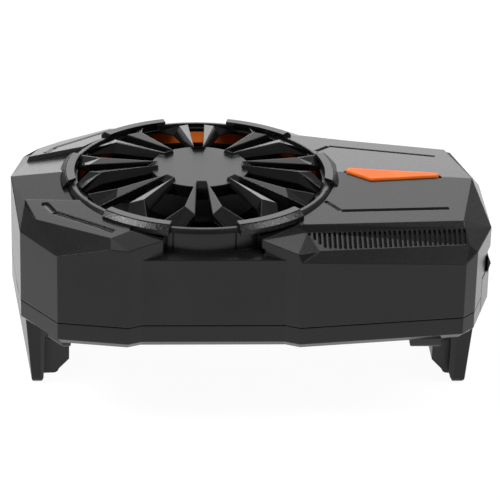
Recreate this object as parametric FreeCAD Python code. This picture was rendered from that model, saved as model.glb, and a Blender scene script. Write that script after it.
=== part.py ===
"""Clip-on phone cooling fan: a faceted case with a grilled fan, held on a phone by two claws.

Lengths are millimetres. The parts are drawn about the fan's axis, with the foot of the case's
walls at height 0, and each is moved to the stand frame when it is written: there the part
stands on its two claws, X runs along the case and Y points to its back.
"""
import FreeCAD, Part
import math
import os

V = FreeCAD.Vector
Z_AXIS = V(0, 0, 1)

# Stand frame
FAN_X = -8.8            # fan axis, measured from the middle of the case's length
CLAW_DEPTH = 16.0       # claws reach this far below the walls' foot

# Case
SPLIT_Z = 3.0           # top of the lower shell
SPLIT_GAP = 0.15        # shadow line between the two shells
WALL = 1.6
EDGE_BEVEL = 1.15       # bevel round the underside, below the walls' foot
UNDER_Z = -EDGE_BEVEL   # underside of the case
FLOOR_Z = UNDER_Z + 1.6     # top of the floor
ROOF = 1.5              # thickness of the roof
RIDGE_RING_X = 24.4     # where the ridge meets the collar
RIDGE_RING_Z = 20.05
RIDGE_LEFT = V(-33.0, 0, 19.2)
RIDGE_RIGHT = V(48.0, 0, 18.75)
END_X = 50.6            # flat right end of the case
END_Z = 13.4
END_HALF = 9.0
PLATE_FOOT_Z = {"front": 17.7, "back": 18.1}    # channel's outer corners left of the fan
PLATE_STEP = {"front": 0.95, "back": 0.6}   # raised plates stand this far above the channel
BACK_SLOPE = 1.3        # width of the slope by which the back one rises
BACK_GROOVE = 0.6       # its groove lies this much further out
BACK_DROP = 0.8         # the wall left of the fan is this much lower at the back

# Plan of the case's front half: name, x, y, and the height of the wall there
WALL_CORNERS = {
    "tip": V(RIDGE_LEFT.x, 0, RIDGE_LEFT.z),
    "left_corner": V(-31.1, -15.8, 16.0),
    "front_1": V(-24.7, -24.7, 15.55),
    "front_2": V(-12.8, -26.8, 17.4),
    "recess_1": V(-10.4, -25.8, 15.3),
    "recess_2": V(13.75, -25.9, 15.3),
    "front_3": V(16.3, -27.0, 15.3),
    "front_4": V(44.5, -23.3, 13.2),
    "right_corner": V(46.7, -21.0, 14.45),
    "end": V(END_X, -END_HALF, END_Z),
    "end_middle": V(END_X, 0, END_Z),
}

VENT_COUNT = 32
VENT_PITCH = 0.866
VENT_FIRST = 0.29       # first slot, from the left corner of the slope
VENT_WIDTH = 0.42
VENT_DEPTH = 0.45
VENT_ENDS = (0.18, 0.2)     # slots stop short of the slope's upper and lower edges
VENT_LEAN = 0.04        # slots lean this much to the left as they come forward
VENT_SLANT = 1.3        # the first slots get longer by this much per millimetre

# Fan and collar
BORE_R = 22.3
COLLAR_R = 23.6
COLLAR_FOOT = 15.8
RIM_Z = 19.75
RIM_ROUND = 0.9         # rounding of the collar's outer edge
SEAM_AT = 13.0          # seams on each side of the middle plane, in degrees
# Ends of the covers on each side, in degrees from the back: at the inside and at the outside
COVER_ENDS = [((14.5, 14.5), (45.5, 44.0)), ((71.5, 71.5), (97.5, 105.5)),
              ((134.5, 136.0), (165.5, 165.5))]
COVER_R = (21.9, 23.45, 24.4)   # inside, edge of the top, and outside
COVER_Z = (18.8, 19.65, 19.95, 20.5)    # foot, foot of the bevel, underside of the lip, and top
COVER_GROOVE = (0.1, 0.22)      # half width and depth of the groove between the top and the bevel
FRAME_R = (20.6, 22.2)
FRAME_Z = (FLOOR_Z, 16.3)
FRAME_PEGS = [(-22.4, 0.0), (11.2, 19.4), (11.2, -19.4)]
LIGHT_RING_Z = (16.3, 18.5)
LIGHT_RING_R = (21.6, 21.9, 22.2)   # inside at the foot and at the top, and outside

# Fan guard
GUARD_HUB_R = 8.6
GUARD_HUB_Z = 21.05
GUARD_TAB_Z = 21.7
GUARD_LOW_Z = 18.9
GUARD_UNITS = 8
INLET_R = 20.4
LIGHT_BOARD_Z = 13.6
WINDOW_PROUD = 0.35         # window's top above the roof
WINDOW_PLAN = [(25.8, -0.2), (29.9, -2.65), (42.0, -0.2), (42.1, 0.71), (26.2, 0.97), (25.75, 0.3)]
FLANGE_PLAN = [(25.0, 0), (29.9, -4.3), (42.9, -1.8), (42.9, 0)]    # front half
WINDOW_GAP = 0.1
WINDOW_NOTCH = 0.4          # length of the notches at the window's two ends
GUARD_RING_R = (21.4, 22.2)
GUARD_RING_Z = (18.5, 19.2)
LEG_HUB = (8.5, 6.5)        # ridge of a leg at the hub: radius, half angle in degrees
LEG_KINK = (17.5, 10.3)
LEG_ELBOW = (19.3, 4.4)     # bend in the lower edge of a leg's inner slope
LEG_FLARE_R = 21.8
LEG_FLARE = (9.0, 11.5, 19.0)       # inner, middle and outer angle at the ring
LEG_KINK_Z = 21.4
LEG_ELBOW_Z = 20.8
LEG_FLARE_Z = (19.3, 19.4, 20.15)
LEG_DROP = (1.2, 1.9)       # height of a leg's outer side at the hub and at the kink
LEG_WALL = (0.7, 1.3)      # height of its inner wall at the hub and at the elbow
TAB_END = (9.0, 21.0)       # outer edge of a tab's top: radius, height

# Motor and impeller
SHAFT_R = 1.0
SHAFT_CLEARANCE = 0.03
SLEEVE_R = 2.4
POST_R = 3.4
STATOR_R = 7.0
STATOR_Z = (6.2, 10.8)
STATOR_POLES = 6
MAGNET_R = (7.4, 8.3)
CUP_R = 8.8
CUP_TOP = 12.7
ROTOR_Z = (5.4, 15.0)
IMPELLER_HUB_R = 9.8
IMPELLER_R = 19.9
BLADES = 9

# Claws: a corner's x, z pairs are given at the leg's front, from the top down and up again
CLAW_HALF = {"left": 10.7, "right": 11.5}
CLAW_TIP = {"left": (-32.95, 0.4), "right": (END_X, END_HALF)}
CLAW_OUTER = {
    "left": [(-31.7, 0), (-30.55, -1.6), (-29.5, -15.3), (-29.2, -CLAW_DEPTH)],
    "right": [(49.75, 0), (48.35, -1.4), (48.0, -5.1), (47.1, -15.2), (46.6, -CLAW_DEPTH)],
}
CLAW_INNER = {
    "left": [(-28.0, -CLAW_DEPTH), (-27.45, -15.2), (-27.05, -6.0), (-26.85, 0)],
    "right": [(45.2, -CLAW_DEPTH), (44.6, -15.1), (44.35, -14.2), (44.6, 0)],
}
CLAW_BEVEL = 0.75
CLAW_ROUND = 1.2
CLAW_SCREWS = [(-28.15, -4.0), (-28.15, 4.0)]
JAW_HALF = {"left": 7.8, "right": 8.6}
JAW_ROOT = {"left": -27.2, "right": 44.5}
JAW_FACE = {"left": -22.95, "right": 41.45}
JAW_INLAY = 1.2             # depth to which a jaw is let into its leg
ARM_POCKET_X = 47.2
ARM_POCKET_Z = 6.8
ARM_POCKET_HALF = 15.5
SIDE_WALL = 1.0             # wall beside the pocket
ARM_GAP = 0.3
ARM_TRAVEL = 16.0
GRIP_HALF = 12.4
GRIP_X = (49.48, 50.33)     # floor of the finger pocket, and edge of the lip in it
GRIP_Z = (8.2, 9.9)         # edge of the lip, and top of the pocket
TONGUE_HALF = 8.0
TONGUE_Z = (0.85, 2.85)
TONGUE_EARS = (25.6, 27.2)  # wider head of the tongue, which stops it at full travel
EAR_HALF = 9.6
RAIL_HALF = 11.2
COVER_THICK = 0.8
SPRING_Y = (-4.2, 4.2)
SPRING_X = (26.4, 34.4)
SPRING_R = 1.1
LEFT_PLATE_Z = (2.2, 5.2)   # top edge of the fixed claw's plate, at its sides and in the middle
LEFT_PLATE_THICK = 1.2

# Rubber bars under the case
BAR_LOW_Z = -3.0
BAR_ROUND = 0.8
LEFT_BAR = [(-22.5, -22.2), (-24.0, -22.2), (-26.4, -19.0)]     # front corners in plan
RIGHT_BAR = [(41.0, -22.7), (35.6, -22.7)]

# Electrics in the right half
BOSS_PLACES = [(-25.6, -14.2), (-25.6, 14.2), (43.6, -17.5), (43.6, 17.5)]
BOARD_Z = 5.6
BOARD_THICK = 1.0
BOARD_PLAN = [(24.4, 7.5), (44.5, 7.5), (44.5, 14.6), (41.2, 14.6), (41.2, 22.0), (26.0, 22.6),
              (24.4, 22.6)]
BOARD_POSTS = [(26.6, 14.5), (42.6, 12.6)]
SOCKET_X = 36.6
SWITCH_X = 27.6
SWITCH_TRAVEL = 2.0


def solid_of(corners, faces):
    """Solid bounded by flat faces, each a list of corner numbers."""
    sheets = []
    for face in faces:
        ring = [corners[i] for i in face]
        sheets.append(Part.Face(Part.makePolygon(ring + ring[:1])))
    shell = Part.makeShell(sheets)
    shell.sewShape()
    solid = Part.makeSolid(shell)
    if solid.Volume < 0:
        solid.reverse()
    return solid


def column(top, low):
    """Solid under a flat facet, straight down to height low."""
    count = len(top)
    foot = [V(p.x, p.y, low) for p in top]
    sides = [[i, (i + 1) % count, count + (i + 1) % count, count + i] for i in range(count)]
    return solid_of(top + foot, [list(range(count)), list(range(count, 2 * count))] + sides)


def prism(outline, low, high):
    """Outline given as x, y pairs, raised from height low to height high."""
    ring = [V(x, y, low) for x, y in outline]
    return Part.Face(Part.makePolygon(ring + ring[:1])).extrude(V(0, 0, high - low))


def side_prism(outline, half):
    """Outline given as x, z pairs, reaching half each way along Y."""
    ring = [V(x, -half, z) for x, z in outline]
    return Part.Face(Part.makePolygon(ring + ring[:1])).extrude(V(0, 2 * half, 0))


def box(x, y, z):
    """Block between pairs of coordinates."""
    return Part.makeBox(x[1] - x[0], y[1] - y[0], z[1] - z[0], V(x[0], y[0], z[0]))


def disc(radius, z, x=0.0, y=0.0):
    """Upright cylinder between two heights."""
    return Part.makeCylinder(radius, z[1] - z[0], V(x, y, z[0]))


def tube(r_in, r_out, z, x=0.0, y=0.0):
    """Upright tube between two heights."""
    return disc(r_out, z, x, y).cut(disc(r_in, z, x, y))


def revolved(profile, angle=360.0):
    """Profile of radius, height pairs, turned about the fan's axis."""
    ring = [V(r, 0, z) for r, z in profile]
    return Part.Face(Part.makePolygon(ring + ring[:1])).revolve(V(0, 0, 0), Z_AXIS, angle)


def joined(shapes):
    """One clean solid from overlapping or touching ones."""
    return shapes[0].multiFuse(shapes[1:]).removeSplitter()


def turned(shape, degrees):
    """Copy turned about the fan's axis."""
    copy = shape.copy()
    copy.rotate(V(0, 0, 0), Z_AXIS, degrees)
    return copy


def around(shape, count, start=0.0):
    """Copies evenly spaced about the fan's axis."""
    return [turned(shape, start + 360.0 * i / count) for i in range(count)]


def moved(shape, x, y, z):
    """Copy shifted by x, y, z."""
    copy = shape.copy()
    copy.translate(V(x, y, z))
    return copy


def both_sides(shape):
    """Shape and its mirror image across the middle plane."""
    return [shape, shape.mirror(V(0, 0, 0), V(0, 1, 0))]


def polar(radius, degrees, z=0.0):
    """Point at an angle from the back of the fan, clockwise from above."""
    turn = math.radians(degrees)
    return V(radius * math.sin(turn), radius * math.cos(turn), z)


def on_plane(a, b, c, x, y):
    """Point above x, y on the plane through a, b and c."""
    normal = (b - a).cross(c - a)
    return V(x, y, a.z - (normal.x * (x - a.x) + normal.y * (y - a.y)) / normal.z)


def inset(outline, distance):
    """Outline of x, y pairs moved inwards; it runs anticlockwise."""
    moved_lines = []
    count = len(outline)
    for i in range(count):
        (x1, y1), (x2, y2) = outline[i], outline[(i + 1) % count]
        length = math.hypot(x2 - x1, y2 - y1)
        nx, ny = -(y2 - y1) / length, (x2 - x1) / length
        moved_lines.append((x1 + nx * distance, y1 + ny * distance, x2 - x1, y2 - y1))
    corners = []
    for i in range(count):
        ax, ay, adx, ady = moved_lines[i - 1]
        bx, by, bdx, bdy = moved_lines[i]
        step = ((bx - ax) * bdy - (by - ay) * bdx) / (adx * bdy - ady * bdx)
        corners.append((ax + adx * step, ay + ady * step))
    return corners


def case_outline():
    """Whole plan of the case, anticlockwise from the left tip."""
    front = [(p.x, p.y) for p in WALL_CORNERS.values()]
    front = front[:-1]
    back = [(x, -y) for x, y in reversed(front[1:])]
    return front + back


def left_plate(side):
    """Corners of the raised plate left of the fan, drawn at the front: inner, left and outer."""
    inner = V(-30.4, -8.4, 0)
    if side == "back":
        inner = V(-30.0, -8.4 - BACK_SLOPE, 0)
    inner.z = PLATE_FOOT_Z[side] + PLATE_STEP[side]
    return inner, V(-28.4, -15.0, 17.95), V(-15.7, -23.5, 18.4 if side == "front" else 18.2)


def left_roof(w, side):
    """Facets left of the fan: the channel by the ridge, a raised plate and the slopes outside it."""
    ridge = V(-RIDGE_RING_X, 0, RIDGE_RING_Z)
    plate_foot = V(-30.4, -8.4, PLATE_FOOT_Z[side])
    plate_left = V(-28.4, -15.0, 17.45)
    plate = left_plate(side)
    top_inner, top_left, top_outer = plate
    channel = (w["tip"], ridge, plate_foot)
    by_ring = on_plane(*plate, -12.5, -22.0)
    foot_by_ring = on_plane(*channel, -12.0, -13.0)
    under_ring = on_plane(*plate, -12.0, -13.0 if side == "front" else -13.0 - BACK_SLOPE)
    rise = [[plate_foot, foot_by_ring, under_ring], [plate_foot, under_ring, top_inner]]
    drop = V(0, 0, 0 if side == "front" else BACK_DROP)
    wall_1 = w["front_1"] - drop * 0.5
    wall_2 = w["front_2"] - drop
    slope = V(-15.7, -26.29, 17.5) - drop
    strip_top = V(-6.96, -24.4, 18.3)
    inside = V(-6.0, -13.0, 18.0)
    return [
        [w["tip"], plate_foot, foot_by_ring, on_plane(*channel, -12.0, 0)],
        [w["tip"], w["left_corner"], plate_foot],
        [w["left_corner"], plate_left, plate_foot],
        [top_inner, top_left, top_outer, by_ring, under_ring],
        [top_left, w["left_corner"], wall_1],
        [top_left, wall_1, top_outer],
        [wall_1, slope, top_outer],
        [top_outer, slope, wall_2],
        [top_outer, wall_2, by_ring],
        [wall_2, strip_top, by_ring],
        [by_ring, strip_top, inside],
    ] + (rise if side == "back" else [])


def middle_roof(w):
    """The recessed front panel, which runs up and back under the collar."""
    left = V(-6.96, -24.4, COLLAR_FOOT)
    right = V(9.64, -24.13, COLLAR_FOOT)
    return [
        [w["recess_1"], w["recess_2"], left],
        [w["recess_2"], right, left],
        [left, right, V(8.0, -14.0, COLLAR_FOOT), V(-6.0, -14.0, COLLAR_FOOT)],
    ]


def roof_corners():
    """Corners of the right roof and the slopes round it, by name."""
    roof = (RIDGE_RIGHT, V(44.8, -15.2, 17.6), V(RIDGE_RING_X, 0, RIDGE_RING_Z))
    return {
        "roof": roof,
        "front_left": on_plane(*roof, 17.3, -19.1),
        "front_right": roof[1],
        "vent_left": V(17.6, -19.9, 17.7),
        "vent_right": V(44.95, -16.2, 16.7),
        "crease_left": V(19.3, -24.6, 16.4),
        "crease_right": V(45.3, -19.9, 15.2),
        "crease_strip": V(15.6, -26.7, 16.8),
        "strip_top": V(9.64, -24.13, 18.2),
        "collar": V(15.5, -19.2, 18.5),
    }


def right_roof(w):
    """Facets right of the fan: the roof, the vent slope and the bevels at the end."""
    c = roof_corners()
    roof = c["roof"]
    end, middle = w["end"], w["end_middle"]
    inside = V(8.0, -14.0, 18.3)
    return [
        [RIDGE_RIGHT, on_plane(*roof, 8.0, 0), on_plane(*roof, 8.0, -14.0), c["front_left"],
         c["front_right"]],
        [c["front_left"], c["vent_left"], c["vent_right"]],
        [c["front_left"], c["vent_right"], c["front_right"]],
        [c["vent_left"], c["crease_left"], c["crease_right"]],
        [c["vent_left"], c["crease_right"], c["vent_right"]],
        [c["vent_left"], c["crease_strip"], c["crease_left"]],
        [c["strip_top"], c["crease_strip"], c["vent_left"]],
        [c["strip_top"], c["vent_left"], c["collar"]],
        [c["collar"], c["vent_left"], c["front_left"]],
        [c["strip_top"], c["collar"], inside],
        [c["collar"], c["front_left"], inside],
        [c["crease_strip"], w["front_3"], c["crease_left"]],
        [w["front_3"], w["front_4"], c["crease_left"]],
        [w["front_4"], c["crease_right"], c["crease_left"]],
        [w["front_4"], w["right_corner"], c["crease_right"]],
        [RIDGE_RIGHT, c["front_right"], end],
        [c["front_right"], c["vent_right"], end],
        [c["vent_right"], c["crease_right"], end],
        [c["crease_right"], w["right_corner"], end],
        [RIDGE_RIGHT, end, middle],
    ]


def roof_solid(low):
    """Everything under the roof's facets, down to height low."""
    w = WALL_CORNERS
    halves = []
    for side in ("front", "back"):
        facets = left_roof(w, side) + middle_roof(w) + right_roof(w)
        halves.append(joined([column(facet, low) for facet in facets]))
    middle = prism([(-15, -15), (15, -15), (15, 15), (-15, 15)], low, COLLAR_FOOT)
    return joined([halves[0], both_sides(halves[1])[1], middle])


def collar_ring():
    """Ring that stands up round the fan's bore, with its outer edge rounded."""
    corners = [V(BORE_R, 0, COLLAR_FOOT - 1.0), V(COLLAR_R, 0, COLLAR_FOOT),
               V(COLLAR_R, 0, RIM_Z - RIM_ROUND), V(COLLAR_R - RIM_ROUND, 0, RIM_Z), V(BORE_R, 0, RIM_Z)]
    middle = V(COLLAR_R - RIM_ROUND, 0, RIM_Z - RIM_ROUND)
    shoulder = middle + V(RIM_ROUND * math.cos(math.pi / 4), 0, RIM_ROUND * math.sin(math.pi / 4))
    edges = [Part.makePolygon(corners[:3]), Part.Arc(corners[2], shoulder, corners[3]).toShape(),
             Part.makePolygon(corners[3:] + corners[:1])]
    return Part.Face(Part.Wire(Part.__sortEdges__([e for part in edges for e in part.Edges]))).revolve(
        V(0, 0, 0), Z_AXIS, 360)


def collar_solid():
    """The collar, with fine seams beside its front and back gaps."""
    seam = box((COLLAR_R - 0.25, COLLAR_R + 1), (-0.12, 0.12), (COLLAR_FOOT - 1, RIM_Z))
    seams = [turned(seam, middle + side) for middle in (90, 270) for side in (-SEAM_AT, SEAM_AT)]
    return collar_ring().cut(Part.makeCompound(seams))


def vee_cut(start, end, up, back=0.2, front=0.5, depth=0.35):
    """Cutter for a groove from start to end, steep on its back side."""
    along = (end - start).normalize()
    side = along.cross(up).normalize()
    if side.y > 0:
        side = side * -1
    lift = up * 0.4
    corners = []
    for p in (start, end):
        stretch = 1 + 0.4 / depth
        corners += [p - side * (back * stretch) + lift, p + side * (front * stretch) + lift,
                    p - up * depth]
    return solid_of(corners, [[0, 1, 2], [3, 4, 5], [0, 1, 4, 3], [1, 2, 5, 4], [2, 0, 3, 5]])


def groove_cuts():
    """Line grooves in the raised left plates and in the right roof."""
    on_plate = [(-27.4, -10.3), (-26.5, -10.4), (-25.1, -13.3), (-15.0, -21.3)]
    on_roof = [(21.4, -10.6), (23.8, -13.6), (42.6, -10.9)]
    on_back_plate = [(x, y - BACK_GROOVE) for x, y in on_plate]
    routes = [("front", left_plate("front"), on_plate, 0.9),
              ("back", left_plate("back"), on_back_plate, 0.9)]
    routes += [(side, roof_corners()["roof"], on_roof, 0.7) for side in ("front", "back")]
    cuts = []
    for side, surface, route, front in routes:
        up = (surface[1] - surface[0]).cross(surface[2] - surface[0]).normalize()
        if up.z < 0:
            up = up * -1
        points = [on_plane(*surface, x, y) for x, y in route]
        for start, end in zip(points, points[1:]):
            groove = vee_cut(start, end, up, front=front)
            cuts.append(groove if side == "front" else both_sides(groove)[1])
    return cuts


def vent_cuts():
    """Slots down the vent slope; what is left between them are its ribs."""
    c = roof_corners()
    surface = (c["vent_left"], c["vent_right"], c["crease_right"])
    up = (surface[1] - surface[0]).cross(surface[2] - surface[0]).normalize()
    if up.z < 0:
        up = up * -1
    cuts = []
    for i in range(VENT_COUNT):
        x = c["vent_left"].x + VENT_FIRST + VENT_PITCH * i
        share = (x - c["vent_left"].x) / (c["vent_right"].x - c["vent_left"].x)
        high_y = c["vent_left"].y + (c["vent_right"].y - c["vent_left"].y) * share
        low_y = c["crease_left"].y + (c["crease_right"].y - c["crease_left"].y) * share
        high_y -= VENT_ENDS[0]
        low_y = max(low_y + VENT_ENDS[1], high_y - 0.6 - VENT_SLANT * i * VENT_PITCH)
        ends = [on_plane(*surface, x + VENT_LEAN * (y - high_y), y) for y in (high_y, low_y)]
        side = (ends[1] - ends[0]).cross(up).normalize() * (VENT_WIDTH / 2)
        corners = []
        for p in ends:
            corners += [p - side + up * 0.5, p + side + up * 0.5, p + side - up * VENT_DEPTH,
                        p - side - up * VENT_DEPTH]
        slot = solid_of(corners, [[0, 1, 2, 3], [4, 5, 6, 7], [0, 1, 5, 4], [1, 2, 6, 5],
                                  [2, 3, 7, 6], [3, 0, 4, 7]])
        cuts += both_sides(slot)
    return cuts


def on_roof(plan, high, low):
    """Plan on the front half of the right roof, between two heights over the roof's surface."""
    roof = roof_corners()["roof"]
    top = column([on_plane(*roof, x, y) + V(0, 0, high) for x, y in plan], 5.0)
    return top.cut(column([on_plane(*roof, x, y) + V(0, 0, low) for x, y in plan], 4.0))


def window_opening():
    """Cutter for the window's opening, which is notched at both ends."""
    grown = inset(WINDOW_PLAN, -WINDOW_GAP)
    left, right = WINDOW_PLAN[5][0], WINDOW_PLAN[3][0]
    notches = [box((left - WINDOW_NOTCH, left + 0.5), (-0.25, 0.4), (10, 30)),
               box((right - 0.5, right + WINDOW_NOTCH), (-0.6, 0.4), (10, 30))]
    return joined([prism(grown, 10, 30)] + notches)


def arm_pocket():
    """Space at the right end where the sliding claw's plate lies."""
    return box((ARM_POCKET_X, END_X + 2), (-ARM_POCKET_HALF, ARM_POCKET_HALF), (UNDER_Z - 1, ARM_POCKET_Z))


def left_plate_zone(grow=0.0):
    """Part of the left end wall that the fixed claw's plate takes, pointed at the top."""
    half = CLAW_HALF["left"] + grow
    side, middle = LEFT_PLATE_Z
    low = UNDER_Z - 0.01
    outline = [(-half, low), (-half, side + grow), (0, middle + grow), (half, side + grow), (half, low)]
    ring = [V(-36, y, z) for y, z in outline]
    zone = Part.Face(Part.makePolygon(ring + ring[:1])).extrude(V(6, 0, 0))
    return zone.cut(prism(inset(case_outline(), LEFT_PLATE_THICK + grow), UNDER_Z - 1, 10))


def finger_pocket():
    """Cut across the right end, over the sliding claw's plate, for its finger lip."""
    half = GRIP_HALF + ARM_GAP
    return box((GRIP_X[0], END_X + 1), (-half, half), (ARM_POCKET_Z - 1, GRIP_Z[1]))


def finger_lip():
    """Lip along the top of the sliding claw's plate, for pulling it out with a finger."""
    x = GRIP_X[0] + ARM_GAP
    foot = ARM_POCKET_Z - 0.6
    edge = (GRIP_X[1], GRIP_Z[0])
    lip = side_prism([(x, foot), edge, (x, GRIP_Z[1] - 0.4)], GRIP_HALF)
    below = side_prism([(x, foot), (END_X, foot), edge], GRIP_HALF).common(prism(case_outline(), 0, 10))
    return [lip, below]


def upper_shell():
    """Hollow faceted top of the case, with the collar, bore, grooves, vent ribs and cut-outs."""
    low = SPLIT_Z + SPLIT_GAP
    outer = roof_solid(low)
    inner_plan = prism(inset(case_outline(), WALL), low - 5, 30)
    cavity = moved(outer, 0, 0, -ROOF).common(inner_plan)
    cavity = joined([cavity, prism(inset(case_outline(), WALL), low - 2, low + 2)])
    wall_ends = [
        box((ARM_POCKET_X - WALL, END_X), (-ARM_POCKET_HALF - SIDE_WALL, ARM_POCKET_HALF + SIDE_WALL),
            (low - 3, GRIP_Z[1] + WALL)),
        box((RIDGE_LEFT.x, -30.2), (-CLAW_HALF["left"] - WALL, CLAW_HALF["left"] + WALL),
            (low + 2, LEFT_PLATE_Z[1] + WALL)),
        disc(BORE_R + 1.5, (low - 3, 30)),
    ]
    posts = [disc(2.2, (low + 1.5, 30), x, y) for x, y in BOSS_PLACES]
    posts += [box((x, x + 1.6), (-5.6, -3.6), (LIGHT_BOARD_Z + 0.8, 30)) for x in (26.4, 41.0)]
    cavity = cavity.cut(Part.makeCompound(wall_ends + posts))
    ring_seat = [disc(COLLAR_R, (COLLAR_FOOT, 30))] + cover_blocks()
    shell = joined([outer.cut(Part.makeCompound(ring_seat)), collar_solid()]).cut(cavity)
    holes = [disc(0.8, (0, 10.5), x, y) for x, y in BOSS_PLACES]
    cuts = [disc(BORE_R, (0, 30)), arm_pocket(), finger_pocket(), tongue_slot(), left_plate_zone(0.15),
            window_opening(), socket_cut(), switch_cut()]
    cuts += holes + groove_cuts() + vent_cuts()
    return shell.cut(Part.makeCompound(cuts)).removeSplitter()


def tongue_slot():
    """Way through the end of the case for the sliding claw's tongue."""
    return box((ARM_POCKET_X - 3, END_X), (-TONGUE_HALF - ARM_GAP, TONGUE_HALF + ARM_GAP),
               (TONGUE_Z[0] - ARM_GAP, TONGUE_Z[1] + ARM_GAP))


def socket_cut():
    """Opening in the back wall for the charging socket."""
    return box((SOCKET_X - 4.7, SOCKET_X + 4.7), (20, 27), (BOARD_Z + 0.85, BOARD_Z + 4.35))


def switch_cut():
    """Slot in the back wall for the switch knob."""
    return box((SWITCH_X - 2.4, SWITCH_X + 2.4 + SWITCH_TRAVEL), (20, 28), (7.6, 9.9))


def case_foot():
    """Solid block of the case below its split, bevelled round the underside."""
    plan = case_outline()
    foot = [V(x, y, UNDER_Z) for x, y in inset(plan, EDGE_BEVEL)]
    edge = [V(x, y, 0) for x, y in plan]
    count = len(plan)
    sides = [[i, (i + 1) % count, count + (i + 1) % count, count + i] for i in range(count)]
    bevelled = solid_of(foot + edge, [list(range(count)), list(range(count, 2 * count))] + sides)
    return joined([bevelled, prism(plan, 0, SPLIT_Z)])


def lower_shell():
    """Tray that closes the case, with the air inlet's grille, the claw's rails and the board's posts."""
    plan = case_outline()
    rim = WALL + 1.4
    tray = case_foot().cut(prism(inset(plan, rim), FLOOR_Z, SPLIT_Z + 3))
    lip = prism(inset(plan, WALL + 0.1), SPLIT_Z - 1, SPLIT_Z + 1.2)
    lip = lip.cut(prism(inset(plan, rim), SPLIT_Z - 2, SPLIT_Z + 2)).cut(disc(BORE_R + 1.7, (0, 9)))
    lip = lip.cut(box((ARM_POCKET_X - WALL - 0.1, END_X),
                      (-ARM_POCKET_HALF - SIDE_WALL, ARM_POCKET_HALF + SIDE_WALL), (0, 9)))
    end_wall = box((ARM_POCKET_X - WALL + 0.1, ARM_POCKET_X), (-ARM_POCKET_HALF, ARM_POCKET_HALF),
                   (UNDER_Z, SPLIT_Z))
    tray = joined([tray, lip]).cut(disc(INLET_R, (UNDER_Z - 1, 9))).cut(arm_pocket())
    tray = joined([tray, end_wall] + both_sides(rail()) + [inlet_grille()])
    root = FLOOR_Z - 0.5
    stands = [disc(2.2, (root, SPLIT_Z + SPLIT_GAP + 1.5), x, y) for x, y in BOSS_PLACES]
    stands += [disc(1.4, (root, BOARD_Z), x, y) for x, y in BOARD_POSTS]
    stands += [disc(0.75, (root, FLOOR_Z + 1.5), x, y) for x, y in FRAME_PEGS]
    through = (UNDER_Z - 1, 9)
    cuts = [tongue_slot(), left_plate_zone(0.15)]
    cuts += [disc(0.95, through, x, y) for x, y in BOSS_PLACES]
    cuts += [disc(1.8, (UNDER_Z - 1, UNDER_Z + 1.0), x, y) for x, y in BOSS_PLACES]
    cuts += [disc(0.5, (FLOOR_Z, 9), x, y) for x, y in BOARD_POSTS]
    cuts += [disc(0.9, through, x, y) for x, y in CLAW_SCREWS]
    return joined([tray] + stands).cut(Part.makeCompound(cuts)).removeSplitter()


def rail():
    """Guide beside the sliding claw's tongue; its step stops the tongue's head."""
    z = (FLOOR_Z - 0.5, TONGUE_Z[1] + ARM_GAP)
    stop = TONGUE_EARS[1] + ARM_TRAVEL + 0.1
    wide = box((TONGUE_EARS[0] - 1.0, stop), (EAR_HALF + ARM_GAP, RAIL_HALF), z)
    narrow = box((stop, ARM_POCKET_X - WALL), (TONGUE_HALF + ARM_GAP, RAIL_HALF), z)
    return joined([wide, narrow])


def inlet_grille():
    """Rings and spokes across the air inlet under the fan."""
    z = (UNDER_Z + 0.3, UNDER_Z + 1.5)
    rings = [tube(INLET_R - 1.2, INLET_R + 0.5, z), tube(14.8, 15.9, z), disc(IMPELLER_HUB_R, z)]
    spoke = box((9.0, INLET_R - 0.4), (-0.6, 0.6), z)
    return joined(rings + around(spoke, 12, 15.0))


def cover_blocks():
    """Solid sectors that the raised covers are made from, bevelled on the outside."""
    foot, bevel_foot, lip, top = COVER_Z
    inside, edge, outside = COVER_R
    half, depth = COVER_GROOVE
    mid_collar = BORE_R + 0.05
    profile = [(inside, lip), (mid_collar, lip), (mid_collar, foot), (outside, foot), (outside, bevel_foot),
               (edge + half, top - half), (edge, top - depth), (edge - half, top), (inside, top)]
    ring = revolved(profile)
    blocks = []
    for first, last in COVER_ENDS:
        near, far = inside - 1.0, outside + 2.5
        corners = [polar(near, first[0]), polar(far, first[1]), polar(far, last[1]), polar(near, last[0])]
        sector = prism([(p.x, p.y) for p in corners], foot - 1, top + 1)
        block = ring.common(sector)
        blocks += [block, block.mirror(V(0, 0, 0), V(1, 0, 0))]
    return blocks


def ring_covers():
    """Raised covers round the collar; a lip on the inside of each reaches over the bore."""
    collar = collar_ring()
    return [block.cut(collar) for block in cover_blocks()]


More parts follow.
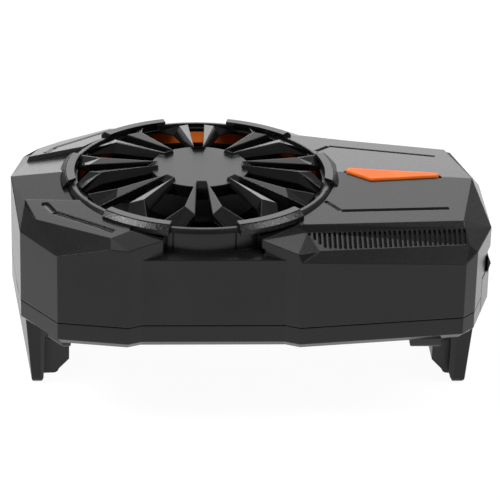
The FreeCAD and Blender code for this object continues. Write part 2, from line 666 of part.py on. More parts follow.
def guard_leg():
    """One leg of a guard unit that points to the back: a ridge with a broad slope on its inner side."""
    kink_r, kink_angle = LEG_KINK
    inner_angle, middle_angle, outer_angle = LEG_FLARE
    inner_z, middle_z, outer_z = LEG_FLARE_Z
    hub_angle = LEG_HUB[1]
    hub_low = GUARD_TAB_Z - LEG_DROP[0]
    root_r = LEG_HUB[0] - 1.1
    corners = [
        polar(root_r, hub_angle, GUARD_TAB_Z),
        polar(root_r, hub_angle - 0.8, hub_low + LEG_WALL[0]),
        polar(root_r, hub_angle - 0.8, hub_low),
        polar(root_r, hub_angle + 4.0, hub_low),
        polar(kink_r, kink_angle, LEG_KINK_Z),
        polar(*LEG_ELBOW, LEG_ELBOW_Z),
        polar(*LEG_ELBOW, LEG_ELBOW_Z - LEG_WALL[1]),
        polar(kink_r, kink_angle + 3.4, LEG_KINK_Z - LEG_DROP[1]),
        polar(LEG_FLARE_R, outer_angle, outer_z),
        polar(LEG_FLARE_R, middle_angle, middle_z),
        polar(LEG_FLARE_R, inner_angle, inner_z),
        polar(LEG_FLARE_R, outer_angle, GUARD_LOW_Z),
        polar(LEG_FLARE_R, inner_angle, GUARD_LOW_Z),
    ]
    root = [[0, 1, 2], [0, 2, 3]]
    bar = [[0, 4, 5], [0, 5, 1], [1, 5, 6], [1, 6, 2], [0, 3, 7], [0, 7, 4], [2, 6, 7], [2, 7, 3]]
    flare = [[4, 8, 9], [4, 9, 5], [5, 9, 10], [4, 7, 11], [4, 11, 8], [5, 10, 12], [5, 12, 6],
             [6, 12, 11], [6, 11, 7]]
    end = [[8, 11, 12], [8, 12, 9], [9, 12, 10]]
    return solid_of(corners, root + bar + flare + end)


def guard_tab():
    """Block over the hub's edge that joins two legs."""
    root_r, angle = LEG_HUB[0] - 1.1, LEG_HUB[1]
    end_r, end_z = TAB_END
    corners = []
    for side in (-1, 1):
        corners += [polar(root_r, side * angle, GUARD_TAB_Z), polar(end_r, side * angle, end_z),
                    polar(end_r + 0.3, side * angle, GUARD_LOW_Z), polar(root_r, side * angle, GUARD_LOW_Z)]
    faces = [[0, 1, 5, 4], [1, 2, 6], [1, 6, 5], [2, 3, 7], [2, 7, 6], [3, 0, 4], [3, 4, 7],
             [0, 1, 3], [1, 2, 3], [4, 5, 7], [5, 6, 7]]
    return solid_of(corners, faces)


def fan_guard():
    """Fixed grille: a flat hub disc held by eight forked units in a thin ring."""
    leg = guard_leg()
    other = leg.mirror(V(0, 0, 0), V(1, 0, 0))
    unit = joined([leg, other, guard_tab()])
    hub = disc(GUARD_HUB_R, (GUARD_LOW_Z, GUARD_HUB_Z)).cut(disc(GUARD_HUB_R - 2.6, (0, GUARD_HUB_Z - 1.0)))
    ring = tube(*GUARD_RING_R, GUARD_RING_Z)
    return joined([hub, ring] + around(unit, GUARD_UNITS))


def light_ring():
    """Orange ring in the bore under the guard; its inside narrows a little downwards."""
    low, high = LIGHT_RING_Z
    return revolved([(LIGHT_RING_R[2], low), (LIGHT_RING_R[2], high), (LIGHT_RING_R[1], high),
                     (LIGHT_RING_R[0], low)])


def light_window():
    """Orange window with a flat top that stands proud of the roof, and a flange beneath the roof."""
    flange = both_sides(on_roof(FLANGE_PLAN, -ROOF, -ROOF - 0.8))
    return joined([on_roof(WINDOW_PLAN, WINDOW_PROUD, -ROOF - 0.4)] + flange)


def light_board():
    """Strip of circuit board for the lamps under the window."""
    return box((26, 43), (-6.0, 4.0), (LIGHT_BOARD_Z, LIGHT_BOARD_Z + 0.8))


def lamps():
    """Small lamps on the light board."""
    low = LIGHT_BOARD_Z + 0.8
    return [box((x, x + 2.0), (-1.0, 1.0), (low, low + 0.9)) for x in (28, 31.5, 35, 38.5)]


def fan_frame():
    """Round duct with a motor seat held by four struts."""
    low = FRAME_Z[0]
    hub = [disc(IMPELLER_HUB_R, (low, low + 1.4)), disc(POST_R, (low, STATOR_Z[0])),
           disc(SLEEVE_R + 0.5, (low, STATOR_Z[1] + 0.7))]
    strut = box((IMPELLER_HUB_R - 1, FRAME_R[0] + 0.5), (-1.3, 1.3), (low, low + 2.0))
    ears = [disc(2.2, (low, low + 1.4), x, y) for x, y in FRAME_PEGS]
    frame = joined([tube(*FRAME_R, FRAME_Z)] + hub + around(strut, 4, 45.0) + ears)
    cuts = [disc(0.8, (0, 9), x, y) for x, y in FRAME_PEGS]
    cuts += [disc(SLEEVE_R, (low + 0.8, 30)), disc(FRAME_R[0], (low + 2.1, 30)).cut(disc(POST_R, (0, 40)))]
    return frame.cut(Part.makeCompound(cuts)).removeSplitter()


def motor_board():
    """Round board on the motor seat."""
    low = FRAME_Z[0] + 1.4
    return tube(POST_R + 0.1, 8.6, (low, low + 0.8))


def bearing_sleeve():
    """Plain bearing pressed into the frame's tower."""
    return tube(SHAFT_R + SHAFT_CLEARANCE, SLEEVE_R, (FRAME_Z[0] + 0.8, STATOR_Z[1] + 0.7))


def stator_core():
    """Laminated core with six poles."""
    core = [tube(SLEEVE_R + 0.5, 4.2, STATOR_Z)]
    pole = box((4.0, 6.4), (-0.8, 0.8), STATOR_Z)
    shoe_arc = 44.0
    shoe = turned(revolved([(6.2, STATOR_Z[0]), (STATOR_R, STATOR_Z[0]), (STATOR_R, STATOR_Z[1]),
                            (6.2, STATOR_Z[1])], shoe_arc), -shoe_arc / 2)
    return joined(core + around(pole, STATOR_POLES) + around(shoe, STATOR_POLES))


def stator_coils():
    """One winding round each pole."""
    low, high = STATOR_Z
    outer = box((4.6, 6.0), (-1.5, 1.5), (low - 0.9, high + 0.9))
    coil = outer.cut(box((4, 7), (-0.82, 0.82), (low - 0.02, high + 0.02)))
    return around(coil, STATOR_POLES)


def motor_shaft():
    """Steel shaft, held by the rotor and running in the sleeve."""
    return disc(SHAFT_R, (FRAME_Z[0] + 1.1, 14.0))


def rotor_cup():
    """Steel cup that carries the magnet ring."""
    cup = disc(CUP_R, (ROTOR_Z[0] + 0.2, CUP_TOP)).cut(disc(MAGNET_R[1], (0, CUP_TOP - 0.6)))
    return cup.cut(disc(SHAFT_R, (0, 30)))


def rotor_magnet():
    """Ring magnet inside the cup."""
    return tube(*MAGNET_R, (ROTOR_Z[0] + 0.4, 11.6))


def blade_section(radius, tilt, chord, thick):
    """Four-cornered blade section, square to the radius."""
    turn = math.radians(tilt)
    along = V(0, math.cos(turn), math.sin(turn))
    across = V(0, -math.sin(turn), math.cos(turn))
    middle = V(radius, 0, sum(ROTOR_Z) / 2)
    corners = [middle + along * (chord * a) + across * (thick * b)
               for a, b in ((-0.5, -0.3), (0.5, -0.3), (0.5, 0.3), (0.0, 0.7), (-0.5, 0.3))]
    return Part.makePolygon(corners + corners[:1])


def impeller():
    """Hub with nine twisted blades."""
    low, high = ROTOR_Z
    hub = disc(IMPELLER_HUB_R, ROTOR_Z).cut(disc(CUP_R, (0, CUP_TOP)))
    sections = [blade_section(8.9, 56, 9.0, 1.3), blade_section(14.0, 44, 10.6, 1.0),
                blade_section(19.4, 34, 11.6, 0.8)]
    blade = Part.makeLoft(sections, True, False)
    ring = tube(IMPELLER_HUB_R - 0.5, IMPELLER_R, (low, high))
    blades = [b.common(ring) for b in around(blade, BLADES)]
    body = joined([hub] + blades)
    return body.cut(disc(SHAFT_R, (0, 14.0)))


def claw_leg(side):
    """Leg of a claw. The top of its outer side fans in facets from the tip to the third outer point."""
    tip_x, tip_half = CLAW_TIP[side]
    down_and_up = CLAW_OUTER[side] + CLAW_INNER[side]
    count = len(down_and_up)
    corners = [V(x, y, z) for y in (-CLAW_HALF[side], CLAW_HALF[side]) for x, z in down_and_up]
    corners += [V(tip_x, -tip_half, 0), V(tip_x, tip_half, 0)]
    tips = (2 * count, 2 * count + 1)
    faces = [list(range(count)), list(range(count, 2 * count)),
             [tips[0], tips[1], count, 2 * count - 1, count - 1, 0],
             [tips[0], 2, count + 2, tips[1]]]
    for i in (0, 1):
        faces += [[tips[0], i, i + 1], [tips[1], count + i, count + i + 1]]
    faces += [[i, i + 1, count + i + 1, count + i] for i in range(2, count - 1)]
    return solid_of(corners, faces)


def claw_trims(side):
    """Cutters for the bevels down the inner edges of a claw's leg and for its rounded low corners."""
    sign = 1 if side == "left" else -1
    x, half = JAW_ROOT[side], CLAW_HALF[side]
    low = -CLAW_DEPTH - 1
    ring = [V(x + sign, -half - 1, low), V(x - sign * CLAW_BEVEL, -half - 1, low),
            V(x - sign * CLAW_BEVEL, -half, low), V(x + sign, -half + CLAW_BEVEL + 1, low)]
    bevel = Part.Face(Part.makePolygon(ring + ring[:1])).extrude(V(0, 0, UNDER_Z - 1 - low))
    y, z = half - CLAW_ROUND, CLAW_ROUND - CLAW_DEPTH
    corner = box((x - 10, x + 10), (y, half + 1), (low, z))
    corner = corner.cut(Part.makeCylinder(CLAW_ROUND, 22, V(x - 11, y, z), V(1, 0, 0)))
    return both_sides(bevel) + both_sides(corner)


def jaw(side):
    """Rubber hook that grips the phone's edge."""
    sign = 1 if side == "left" else -1
    root, face = JAW_ROOT[side], JAW_FACE[side]
    back = root - sign * JAW_INLAY
    outline = [(back, -8.0), (root, -8.3), (face, -10.0), (face, -12.65), (face - sign * 1.75, -14.5),
               (face - sign * 2.1, -15.15), (face - sign * 2.6, -15.4), (back, -15.5)]
    return side_prism(outline, JAW_HALF[side])


def left_arm():
    """Fixed claw: a leg under the left end, with a plate that lies in the end wall."""
    leg = claw_leg("left")
    below = leg.cut(box((-40, -20), (-20, 20), (UNDER_Z, 1)))
    plate = left_plate_zone().common(prism(case_outline(), 0, 10))
    arm = joined([below, plate, left_plate_zone().common(leg)])
    pilots = [disc(0.8, (-5.0, 1), x, y) for x, y in CLAW_SCREWS]
    return arm.cut(Part.makeCompound(pilots + claw_trims("left") + [jaw("left")]))


def right_arm():
    """Sliding claw: an outer plate in the case's end, a leg and a tongue that runs into the case."""
    inner_x = ARM_POCKET_X + ARM_GAP
    top = ARM_POCKET_Z - 0.4
    plate_half = ARM_POCKET_HALF - ARM_GAP
    plate = box((inner_x, END_X), (-plate_half, plate_half), (0, top)).common(prism(case_outline(), -1, 10))
    leg = claw_leg("right").cut(box((40, inner_x), (-20, 20), (UNDER_Z - ARM_GAP, 1)))
    ears = box(TONGUE_EARS, (-EAR_HALF, EAR_HALF), TONGUE_Z)
    tongue = joined([box((TONGUE_EARS[0], inner_x + 0.7), (-TONGUE_HALF, TONGUE_HALF), TONGUE_Z), ears])
    slots = [box((TONGUE_EARS[0] - 1, SPRING_X[1]), (y - 1.6, y + 1.6), (0, 9)) for y in SPRING_Y]
    return joined([plate, leg, tongue] + finger_lip()).cut(Part.makeCompound(slots + claw_trims("right") + [jaw("right")]))


def arm_springs():
    """Pair of springs that pull the sliding claw in; plain tubes stand for their coils."""
    springs = []
    for y in SPRING_Y:
        start = V(SPRING_X[0], y, sum(TONGUE_Z) / 2)
        length = SPRING_X[1] - SPRING_X[0]
        outer = Part.makeCylinder(SPRING_R, length, start, V(1, 0, 0))
        springs.append(outer.cut(Part.makeCylinder(SPRING_R - 0.35, length, start, V(1, 0, 0))))
    return springs


def arm_cover():
    """Plate that keeps the tongue down on its rails, with a lug to hold each spring."""
    low = TONGUE_Z[1] + ARM_GAP
    plate = box((TONGUE_EARS[0] - 1.0, ARM_POCKET_X - WALL - 0.1), (-RAIL_HALF, RAIL_HALF),
                (low, low + COVER_THICK))
    lugs = [box((SPRING_X[0] - 0.9, SPRING_X[0]), (y - 1.0, y + 1.0), (TONGUE_Z[0], low))
            for y in SPRING_Y]
    return joined([plate] + lugs)


def rubber_bar(side):
    """Soft bar that lies on the phone's back and leaves an air gap under the fan."""
    front = LEFT_BAR if side == "left" else RIGHT_BAR
    plan = front + [(x, -y) for x, y in reversed(front)]
    bar = prism(plan, BAR_LOW_Z, UNDER_Z)
    low_edges = [e for e in bar.Edges if e.BoundBox.ZMax < BAR_LOW_Z + 0.01]
    return bar.makeFillet(BAR_ROUND, low_edges)


def battery():
    """Flat cell in the right half of the case."""
    low = TONGUE_Z[1] + ARM_GAP + COVER_THICK
    cell = box((26.5, 44.0), (-15.0, 6.0), (low, low + 6.0))
    return cell.makeFillet(0.8, cell.Edges)


def main_board():
    """Circuit board beside the cell, with the socket and the switch on it."""
    board = prism(BOARD_PLAN, BOARD_Z, BOARD_Z + BOARD_THICK)
    return board.cut(Part.makeCompound([disc(0.6, (0, 9), x, y) for x, y in BOARD_POSTS]))


def board_chips():
    """Controller, coil and capacitors on the main board."""
    top = BOARD_Z + BOARD_THICK
    return [box((30, 34), (9.5, 13.5), (top, top + 1.0)), box((36, 40), (9.5, 13.5), (top, top + 2.2)),
            disc(1.6, (top, top + 3.0), 27.2, 10.2), box((34.6, 35.4), (10, 11.4), (top, top + 0.8)),
            box((34.6, 35.4), (12, 13.4), (top, top + 0.8))]


def usb_socket():
    """Charging socket: a steel mouth with a tongue inside, just under the back wall's face."""
    low = BOARD_Z + BOARD_THICK
    z = (low, low + 3.2)
    back = 23.6
    body = box((SOCKET_X - 4.5, SOCKET_X + 4.5), (back - 7.0, back), z)
    edges = [e for e in body.Edges if e.BoundBox.YLength > 6]
    body = body.makeFillet(1.4, edges)
    mouth = box((SOCKET_X - 4.1, SOCKET_X + 4.1), (back - 6.4, back + 1), (z[0] + 0.35, z[1] - 0.35))
    edges = [e for e in mouth.Edges if e.BoundBox.YLength > 6]
    mouth = mouth.makeFillet(1.1, edges)
    middle = sum(z) / 2
    tongue = box((SOCKET_X - 3.3, SOCKET_X + 3.3), (back - 6.6, back - 1.0),
                 (middle - 0.35, middle + 0.35))
    return joined([body.cut(mouth), tongue])


def switch_body():
    """Slide switch on the main board, open towards the back wall."""
    low = BOARD_Z + BOARD_THICK
    body = box((SWITCH_X - 3.0, SWITCH_X + 4.2), (17.6, 22.2), (low, low + 3.6))
    return body.cut(box((SWITCH_X - 1.8, SWITCH_X + 3.8), (19.0, 23), (low + 1.1, low + 2.9)))


def switch_knob():
    """Ribbed knob that slides along the back wall."""
    stem = box((SWITCH_X - 1.6, SWITCH_X + 1.6), (19.4, 26.4), (8.0, 9.2))
    cap = box((SWITCH_X - 2.1, SWITCH_X + 2.1), (24.0, 26.6), (7.9, 9.6))
    ribs = [box((SWITCH_X + x - 0.2, SWITCH_X + x + 0.2), (26.2, 27), (7, 10))
            for x in (-1.5, -0.5, 0.5, 1.5)]
    return joined([stem, cap]).cut(Part.makeCompound(ribs))


def screw(shank_r, length, head_r, head_h, upward=True):
    """Crosshead screw on the Z axis, with its head's top at height 0."""
    shank = disc(shank_r, (-length, 0))
    head = disc(head_r, (-head_h, 0))
    half = head_r * 0.6
    slots = [box((-half, half), (-0.15, 0.15), (-head_h / 2, 1)),
             box((-0.15, 0.15), (-half, half), (-head_h / 2, 1))]
    whole = joined([shank, head]).cut(Part.makeCompound(slots))
    if upward:
        whole.rotate(V(0, 0, 0), V(1, 0, 0), 180)
    return whole


def case_screws():
    """Screws that hold the shells together, sunk in the lower shell."""
    return [moved(screw(0.8, 9.6, 1.7, 0.8), x, y, UNDER_Z + 0.2) for x, y in BOSS_PLACES]


def claw_screws():
    """Screws down through the floor into the fixed claw."""
    top = FLOOR_Z + 0.6
    return [moved(screw(0.8, 5.0, 1.15, 0.6, upward=False), x, y, top) for x, y in CLAW_SCREWS]


def board_screws():
    """Screws that hold the main board on its posts."""
    top = BOARD_Z + BOARD_THICK + 0.6
    return [moved(screw(0.5, 4.0, 1.1, 0.6, upward=False), x, y, top) for x, y in BOARD_POSTS]


NODES = {
    "upper_shell": upper_shell,
    "lower_shell": lower_shell,
    "ring_covers": ring_covers,
    "fan_guard": fan_guard,
    "light_ring": light_ring,
    "light_window": light_window,
    "light_board": light_board,
    "lamps": lamps,
    "fan_frame": fan_frame,
    "motor_board": motor_board,
    "bearing_sleeve": bearing_sleeve,
    "stator_core": stator_core,
    "stator_coils": stator_coils,
    "motor_shaft": motor_shaft,
    "rotor_cup": rotor_cup,
    "rotor_magnet": rotor_magnet,
    "impeller": impeller,
    "left_arm": left_arm,
    "left_jaw": lambda: jaw("left"),
    "right_arm": right_arm,
    "right_jaw": lambda: jaw("right"),
    "arm_springs": arm_springs,
    "arm_cover": arm_cover,
    "left_bar": lambda: rubber_bar("left"),
    "right_bar": lambda: rubber_bar("right"),
    "battery": battery,
    "main_board": main_board,
    "board_chips": board_chips,
    "usb_socket": usb_socket,
    "switch_body": switch_body,
    "switch_knob": switch_knob,
    "case_screws": case_screws,
    "claw_screws": claw_screws,
    "board_screws": board_screws,
}


def main():
    os.makedirs("parts", exist_ok=True)
    for name, make in NODES.items():
        made = make()
        shape = Part.makeCompound(made) if isinstance(made, list) else made
        shape = moved(shape, FAN_X, 0, CLAW_DEPTH)
        solids = shape.Solids
        valid = all(s.isValid() and s.Volume > 0 for s in solids)
        print(f"{name}: {len(solids)} solids, volume {shape.Volume:.1f}, valid {valid}")
        shape.exportStep(f"parts/{name}.step")


main()
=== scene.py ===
"""Looks of the clip-on phone cooling fan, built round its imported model. Lengths are metres."""
import math

import bpy
from mathutils import Euler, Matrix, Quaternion, Vector


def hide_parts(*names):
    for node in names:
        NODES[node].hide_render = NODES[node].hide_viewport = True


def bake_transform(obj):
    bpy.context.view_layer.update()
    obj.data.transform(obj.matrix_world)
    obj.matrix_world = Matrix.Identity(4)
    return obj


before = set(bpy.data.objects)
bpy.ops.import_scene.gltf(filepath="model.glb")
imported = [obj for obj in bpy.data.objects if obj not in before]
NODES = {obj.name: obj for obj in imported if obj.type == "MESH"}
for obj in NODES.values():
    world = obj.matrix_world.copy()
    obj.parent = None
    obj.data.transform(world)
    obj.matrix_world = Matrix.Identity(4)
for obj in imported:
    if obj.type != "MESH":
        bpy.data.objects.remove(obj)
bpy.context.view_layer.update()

MM = 0.001
FAN_X = -8.8 * MM               # fan axis

# Camera of the photograph
IMAGE = 500                     # the picture's width and height in pixels
FOCAL_PIXELS = 2827.7
SENSOR = 36.0                   # width of the camera's sensor in millimetres
CAMERA_AT = (-0.02785, -0.45162, 0.23746)
CAMERA_DOWN = 25.58             # degrees below level
CAMERA_YAW = 3.57               # degrees to the right of straight back
CAMERA_ROLL = 1.40              # degrees anticlockwise, seen from behind the camera

# Studio
WORLD_LEVEL = 0.25
FLOOR_SIZE = 6
FLOOR_PAPER = 0.9               # white of the floor under the lamps
FLOOR_WHITE = 0.88              # share of plain white in it, as the camera and glossy faces see it
FLOOR_GLOW = 1.08               # brightness of that white
LAMPS = {                       # place, width and height, brightness of the face
    "back_lamp": ((0.0, 1.243, 0.747), (0.85, 1.74), 1.95),
    "left_lamp": ((-0.95, -0.12, 1.16), (0.6, 0.6), 13.0),
    "right_lamp": ((0.95, -0.12, 1.16), (0.6, 0.6), 7.0),
}

# Moulded plastics; a scale counts how often a pattern repeats in a metre
CLOUD_SCALE = 90.0
GRAIN_SCALE = 3800.0
GRAIN_DEPTH = 0.002 * MM
SPARKLE_SCALE = 1700.0
SPARKLE_DEPTH = 0.03 * MM
CASE_SPECULAR = 0.33
SOFT_EDGE = 0.25 * MM           # radius that the light sees on moulded edges
EDGE_SAMPLES = 6

# Orange light guides, with a painted glow, and painted light and painted shade on the ring in the bore
WINDOW_PAINTED_GLOW = 0.36
PAINTED_LIGHT_AT = (FAN_X, 21.8 * MM, 33.5 * MM)     # middle of the painted light and painted glow on the ring in the bore
PAINTED_LIGHT_REACH = 16 * MM
PAINTED_LIGHT_MOTTLE = 0.2               # unevenness of that reach

# Springs of the sliding claw
SPRING_X = (17.6 * MM, 25.6 * MM)
SPRING_Y = (-4.2 * MM, 4.2 * MM)
SPRING_Z = 17.85 * MM
SPRING_R = 1.1 * MM             # outer radius
SPRING_TURNS = 13
TURN_STEPS = 18                 # steps in each turn
WIRE_R = 0.15 * MM
WIRE_SIDES = 8
END_CLOSE = 0.45                # how much closer the turns lie at the ends


def add_camera():
    """Camera at the photograph's place and angle."""
    data = bpy.data.cameras.new("camera")
    data.sensor_width = SENSOR
    data.lens = SENSOR * FOCAL_PIXELS / IMAGE
    data.clip_start = 0.01
    data.clip_end = 20.0
    camera = bpy.data.objects.new("camera", data)
    camera.location = CAMERA_AT
    level = Euler((math.radians(90 - CAMERA_DOWN), 0, math.radians(-CAMERA_YAW)))
    camera.rotation_mode = "QUATERNION"
    camera.rotation_quaternion = level.to_quaternion() @ Quaternion((0, 0, 1), math.radians(CAMERA_ROLL))
    bpy.context.scene.collection.objects.link(camera)
    bpy.context.scene.camera = camera


def add_lamp(name, place, size, level):
    """Soft rectangular lamp that faces the object, as bright as level."""
    data = bpy.data.lights.new(name, "AREA")
    data.shape = "RECTANGLE"
    data.size, data.size_y = size
    data.energy = level * math.pi * size[0] * size[1]
    lamp = bpy.data.objects.new(name, data)
    lamp.location = place
    lamp.rotation_euler = (-Vector(place)).to_track_quat("-Z", "Y").to_euler()
    bpy.context.scene.collection.objects.link(lamp)


class Tree:
    """Short ways to add and join nodes."""

    def __init__(self, data):
        data.use_nodes = True
        self.nodes = data.node_tree.nodes
        self.links = data.node_tree.links

    def add(self, kind, **inputs):
        """New node; an input is a value or another node's output."""
        node = self.nodes.new("ShaderNode" + kind)
        for name, value in inputs.items():
            self.put(node, name.replace("_", " "), value)
        return node

    def put(self, node, name, value):
        """Sets an input, by its name or its place in the list, or links an output to it."""
        socket = node.inputs[name]
        if isinstance(value, bpy.types.NodeSocket):
            self.links.new(value, socket)
        else:
            socket.default_value = value

    def worked_out(self, operation, a, b):
        """Result of a math node with two inputs."""
        node = self.nodes.new("ShaderNodeMath")
        node.operation = operation
        self.put(node, 0, a)
        self.put(node, 1, b)
        return node.outputs[0]

    def ramp(self, factor, *stops):
        """Colour or grey that follows a factor; a stop is a place and a colour or grey."""
        node = self.add("ValToRGB", Fac=factor)
        points = node.color_ramp.elements
        while len(points) < len(stops):
            points.new(0.5)
        for point, (place, colour) in zip(points, stops):
            point.position = place
            point.color = (*colour, 1) if isinstance(colour, tuple) else (*grey(colour), 1)
        return node.outputs["Color"]


def grey(level):
    """Colour with the same level in red, green and blue."""
    return (level, level, level)


def seen_white(tree):
    """1 for rays from the camera, from glossy faces and through clear ones, else 0."""
    path = tree.add("LightPath").outputs
    seen = tree.worked_out("MAXIMUM", path["Is Camera Ray"], path["Is Glossy Ray"])
    return tree.worked_out("MAXIMUM", seen, path["Is Transmission Ray"])


def white_world():
    """Even surroundings: white to the camera, and dim as a light."""
    world = bpy.data.worlds.new("studio")
    tree = Tree(world)
    background = tree.nodes["Background"]
    background.inputs["Color"].default_value = (1, 1, 1, 1)
    seen = tree.add("LightPath").outputs["Is Camera Ray"]
    tree.put(background, "Strength", tree.worked_out("MAXIMUM", seen, WORLD_LEVEL))
    bpy.context.scene.world = world


def add_floor():
    """White floor that keeps a faint shadow."""
    bpy.ops.mesh.primitive_plane_add(size=FLOOR_SIZE, location=(0, 0, 0))
    floor = bpy.context.object
    floor.name = "floor"
    material = bpy.data.materials.new("floor_paper")
    tree = Tree(material)
    tree.nodes.remove(tree.nodes["Principled BSDF"])
    paper = tree.add("BsdfDiffuse", Color=(*grey(FLOOR_PAPER), 1))
    white = tree.add("Emission", Color=(1, 1, 1, 1), Strength=FLOOR_GLOW)
    mixed = tree.add("MixShader")
    tree.put(mixed, 0, tree.worked_out("MULTIPLY", seen_white(tree), FLOOR_WHITE))
    tree.put(mixed, 1, paper.outputs[0])
    tree.put(mixed, 2, white.outputs[0])
    tree.links.new(mixed.outputs[0], tree.nodes["Material Output"].inputs["Surface"])
    floor.data.materials.append(material)


def noise(tree, scale, detail=2.0, squeeze=None):
    """Cloudy pattern fixed to the piece, closer along X, Y and Z by the three numbers of squeeze."""
    place = tree.add("TexCoord").outputs["Object"]
    if squeeze:
        mapping = tree.add("Mapping", Vector=place)
        mapping.inputs["Scale"].default_value = squeeze
        place = mapping.outputs[0]
    return tree.add("TexNoise", Vector=place, Scale=scale, Detail=detail).outputs["Fac"]


def facing_up(tree):
    """How far a face looks up: 1 where it is level."""
    return tree.add("SeparateXYZ", Vector=tree.add("NewGeometry").outputs["Normal"]).outputs["Z"]


def finish_of(name, specular=0.5, metallic=0.0):
    """New material: its tree and its shader, whose even values are set on the shader itself."""
    material = bpy.data.materials.new(name)
    tree = Tree(material)
    shader = tree.nodes["Principled BSDF"]
    shader.inputs["Specular IOR Level"].default_value = specular
    shader.inputs["Metallic"].default_value = metallic
    return material, tree, shader


def add_colour(tree, shader, pattern, low, high, ends=(0.3, 0.7)):
    """Base colour between two colours, by a pattern's level at the two ends."""
    tree.put(shader, "Base Color", tree.ramp(pattern, (ends[0], low), (ends[1], high)))


def add_gloss(tree, shader, pattern, low, high, ends=(0.3, 0.7)):
    """Roughness between two levels, by a pattern's level at the two ends."""
    tree.put(shader, "Roughness", tree.ramp(pattern, (ends[0], low), (ends[1], high)))


def add_bump(tree, shader, height, depth, edge=None, samples=EDGE_SAMPLES):
    """Relief from a height pattern, depth metres deep; edges look rounded where edge gives a radius."""
    node = tree.add("Bump", Height=height, Distance=depth, Strength=1.0)
    if edge:
        rounded = tree.add("Bevel", Radius=edge)
        rounded.samples = samples
        tree.put(node, "Normal", rounded.outputs[0])
    tree.put(shader, "Normal", node.outputs[0])


def clouded(tree, shader, dark, light):
    """Base colour of moulded plastic, a little cloudy."""
    add_colour(tree, shader, noise(tree, CLOUD_SCALE, detail=3.0), dark, light, ends=(0.35, 0.65))


def moulded(name, dark, light, roughness, specular=CASE_SPECULAR, grain=GRAIN_DEPTH, edge=SOFT_EDGE):
    """Moulded plastic, cloudy in colour, with a fine spark-eroded grain that its gloss follows."""
    material, tree, shader = finish_of(name, specular)
    clouded(tree, shader, dark, light)
    fine = noise(tree, GRAIN_SCALE)
    add_gloss(tree, shader, fine, *roughness)
    add_bump(tree, shader, fine, grain, edge)
    return material


def cover_black():
    """Ring covers: smooth flat tops, and coarse sparkling grain on the slopes outside them."""
    material, tree, shader = finish_of("cover_black", specular=0.35)
    clouded(tree, shader, grey(0.005), grey(0.008))
    slope = tree.ramp(facing_up(tree), (0.9, 1.0), (0.97, 0.0))
    grain = tree.worked_out("MULTIPLY", noise(tree, SPARKLE_SCALE, detail=1.0), slope)
    tree.put(shader, "Roughness", tree.ramp(grain, (0.0, 0.2), (0.5, 0.3), (0.75, 0.15)))
    add_bump(tree, shader, grain, SPARKLE_DEPTH, edge=0.12 * MM)
    return material


def guard_black():
    """Fan guard: satin on its level hub, glossier on the slopes of its legs."""
    material, tree, shader = finish_of("guard_black", CASE_SPECULAR)
    clouded(tree, shader, grey(0.005), grey(0.008))
    fine = noise(tree, GRAIN_SCALE)
    level = tree.ramp(facing_up(tree), (0.985, 0.0), (0.995, 0.17))
    gloss = tree.ramp(fine, (0.3, 0.15), (0.7, 0.22))
    tree.put(shader, "Roughness", tree.worked_out("ADD", gloss, level))
    add_bump(tree, shader, fine, GRAIN_DEPTH, SOFT_EDGE)
    return material


def metal(name, dark, light, roughness=(0.22, 0.38)):
    """Drawn or turned metal with fine lines across one direction."""
    material, tree, shader = finish_of(name, metallic=1.0)
    streaks = noise(tree, 900.0, detail=3.0, squeeze=(1, 1, 40))
    add_colour(tree, shader, streaks, dark, light)
    add_gloss(tree, shader, streaks, *roughness)
    add_bump(tree, shader, streaks, 0.002 * MM)
    return material


def orange_finish(name, edge):
    """Satin surface that both orange light guides share."""
    material, tree, shader = finish_of(name, specular=0.15)
    fine = noise(tree, 2600.0)
    add_gloss(tree, shader, fine, 0.3, 0.4)
    add_bump(tree, shader, fine, GRAIN_DEPTH, edge, samples=8)
    return material, tree, shader


def window_orange_painted_glow():
    """Orange window in the roof, with a painted glow in its own orange."""
    material, tree, shader = orange_finish("light_orange", 0.4 * MM)
    colour = tree.ramp(noise(tree, 160.0), (0.3, (0.66, 0.12, 0.012)), (0.7, (0.74, 0.15, 0.02)))
    tree.put(shader, "Base Color", colour)
    # The emission is a painted glow in the window's orange; the window holds no lamp.
    tree.put(shader, "Emission Color", colour)
    shader.inputs["Emission Strength"].default_value = WINDOW_PAINTED_GLOW
    return material


def ring_orange_painted_light():
    """Orange ring in the bore, with painted light and a painted glow in the middle of its back, and
    painted shade that turns it deep red away from there.
    """
    material, tree, shader = orange_finish("ring_orange_painted_light", 0.1 * MM)
    away = tree.nodes.new("ShaderNodeVectorMath")
    away.operation = "DISTANCE"
    tree.put(away, 0, tree.add("TexCoord").outputs["Object"])
    away.inputs[1].default_value = PAINTED_LIGHT_AT
    reach = tree.worked_out("DIVIDE", away.outputs["Value"], PAINTED_LIGHT_REACH)
    mottle = tree.worked_out("MULTIPLY", noise(tree, 300.0), PAINTED_LIGHT_MOTTLE)
    reach = tree.worked_out("ADD", reach, mottle)
    # Painted light near the middle of the ring's back, fading into painted shade away from it; the
    # emission is a painted glow that fades the same way.
    colour = tree.ramp(reach, (0.2, (0.52, 0.11, 0.02)), (0.45, (0.19, 0.028, 0.005)),
                       (0.9, (0.05, 0.006, 0.002)))
    tree.put(shader, "Base Color", colour)
    tree.put(shader, "Emission Color", colour)
    tree.put(shader, "Emission Strength", tree.ramp(reach, (0.2, 0.6), (0.4, 0.1), (0.8, 0.02)))
    return material


def board_green():
    """Circuit board with lighter copper lines under its lacquer."""
    material, tree, shader = finish_of("board_green")
    place = tree.add("TexCoord").outputs["Object"]
    bricks = tree.add("TexBrick", Vector=place, Scale=420.0)
    bricks.inputs["Color1"].default_value = (0.012, 0.10, 0.035, 1)
    bricks.inputs["Color2"].default_value = (0.016, 0.13, 0.045, 1)
    bricks.inputs["Mortar"].default_value = (0.03, 0.20, 0.07, 1)
    tree.put(shader, "Base Color", bricks.outputs["Color"])
    add_gloss(tree, shader, noise(tree, 700.0), 0.25, 0.38)
    add_bump(tree, shader, bricks.outputs["Fac"], 0.01 * MM)
    return material


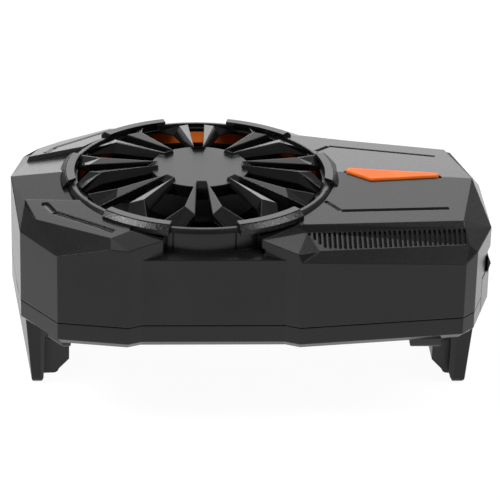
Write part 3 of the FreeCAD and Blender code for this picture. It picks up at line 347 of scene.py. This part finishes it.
def winding_copper():
    """Lacquered copper wire, laid turn by turn."""
    material, tree, shader = finish_of("winding_copper", metallic=1.0)
    place = tree.add("TexCoord").outputs["Object"]
    turns = tree.add("TexWave", Vector=place, Scale=1400.0, Distortion=0.6)
    turns.bands_direction = "Z"
    height = turns.outputs["Fac"]
    # Colour darker in the grooves between the turns and lighter on their crowns: painted shade and
    # painted highlight.
    add_colour(tree, shader, height, (0.25, 0.07, 0.02), (0.72, 0.30, 0.12), ends=(0.1, 0.9))
    add_gloss(tree, shader, height, 0.5, 0.28, ends=(0.1, 0.9))
    add_bump(tree, shader, height, 0.04 * MM)
    return material


def cell_silver():
    """Grey foil round the cell, a little wrinkled."""
    material, tree, shader = finish_of("cell_silver", metallic=0.6)
    wrinkles = noise(tree, 260.0, detail=4.0, squeeze=(1, 1, 0.3))
    add_colour(tree, shader, wrinkles, (0.42, 0.43, 0.44), (0.60, 0.61, 0.62))
    add_gloss(tree, shader, wrinkles, 0.3, 0.45)
    add_bump(tree, shader, wrinkles, 0.12 * MM)
    return material


def lamp_white():
    """Small lamps: yellow phosphor in a white block."""
    material, tree, shader = finish_of("lamp_white")
    spots = noise(tree, 900.0)
    add_colour(tree, shader, spots, (0.85, 0.84, 0.78), (0.85, 0.62, 0.15), ends=(0.45, 0.6))
    add_gloss(tree, shader, spots, 0.3, 0.5)
    return material


def materials():
    """One material for each of the record's slots, and one for the ring in the bore."""
    return {
        "case_black": moulded("case_black", grey(0.006), grey(0.009), roughness=(0.2, 0.28)),
        "tray_black": moulded("tray_black", grey(0.007), grey(0.010), roughness=(0.18, 0.26)),
        "cover_black": cover_black(),
        "guard_black": guard_black(),
        "fan_black": moulded("fan_black", grey(0.002), grey(0.004), roughness=(0.45, 0.6), specular=0.03),
        "rubber_black": moulded("rubber_black", grey(0.020), grey(0.030), roughness=(0.35, 0.45),
                                specular=0.4, grain=0.006 * MM),
        "parts_dark": moulded("parts_dark", grey(0.02), grey(0.035), roughness=(0.35, 0.5),
                              specular=0.4, edge=0.1 * MM),
        "light_orange": window_orange_painted_glow(),
        "ring_orange_painted_light": ring_orange_painted_light(),
        "board_green": board_green(),
        "lamp_white": lamp_white(),
        "steel": metal("steel", grey(0.42), grey(0.62)),
        "magnet_grey": moulded("magnet_grey", grey(0.05), grey(0.09), roughness=(0.5, 0.65),
                               specular=0.5, grain=0.01 * MM),
        "winding_copper": winding_copper(),
        "sleeve_bronze": metal("sleeve_bronze", (0.38, 0.20, 0.08), (0.60, 0.36, 0.16),
                               roughness=(0.4, 0.55)),
        "cell_silver": cell_silver(),
    }


def spring_share(share):
    """How far along the spring its wire has come: slower at both ends, where the turns are closer."""
    return share - math.sin(2 * math.pi * share) / (2 * math.pi) * END_CLOSE


def wire_corners(steps, y):
    """Rings of corners round the wire of a coil, one ring after the other."""
    low, high = SPRING_X[0] + WIRE_R, SPRING_X[1] - WIRE_R
    corners = []
    for i in range(steps + 1):
        x = low + (high - low) * spring_share(i / steps)
        turn = 2 * math.pi * i / TURN_STEPS
        for j in range(WIRE_SIDES):
            around = 2 * math.pi * j / WIRE_SIDES
            r = SPRING_R - WIRE_R + WIRE_R * math.cos(around)
            corners.append((x + WIRE_R * math.sin(around), y + r * math.cos(turn),
                            SPRING_Z + r * math.sin(turn)))
    return corners


def wire_faces(steps):
    """Faces between those rings, and one at each end of the wire."""
    faces = []
    for i in range(steps):
        for j in range(WIRE_SIDES):
            a, b = i * WIRE_SIDES + j, i * WIRE_SIDES + (j + 1) % WIRE_SIDES
            faces.append((a, a + WIRE_SIDES, b + WIRE_SIDES, b))
    faces.append(tuple(range(WIRE_SIDES)))
    faces.append(tuple(reversed(range(steps * WIRE_SIDES, (steps + 1) * WIRE_SIDES))))
    return faces


def coil_spring(name, y):
    """Coil spring wound about a line along the case."""
    steps = SPRING_TURNS * TURN_STEPS
    mesh = bpy.data.meshes.new(name)
    mesh.from_pydata(wire_corners(steps, y), [], wire_faces(steps))
    mesh.shade_smooth()
    spring = bpy.data.objects.new(name, mesh)
    bpy.context.scene.collection.objects.link(spring)
    return spring


def add_springs(finish):
    """Wound springs in place of the plain ones."""
    for number, y in enumerate(SPRING_Y):
        spring = coil_spring(f"claw_spring_{number + 1}", y)
        spring.data.materials.append(finish)
        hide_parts("arm_springs")
        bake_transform(spring)


def dress(finished):
    """Puts the finished materials on the CAD nodes by their slots; the ring has one of its own."""
    for node in NODES.values():
        for place, old in enumerate(node.data.materials):
            name = old.name.split(".")[0]
            if node == NODES["light_ring"]:
                name = "ring_orange_painted_light"
            node.data.materials[place] = finished[name]


add_camera()
white_world()
add_floor()
for lamp_name, (lamp_place, lamp_size, lamp_level) in LAMPS.items():
    add_lamp(lamp_name, lamp_place, lamp_size, lamp_level)
finishes = materials()
dress(finishes)
add_springs(finishes["steel"])

bpy.context.scene.view_settings.view_transform = "Standard"
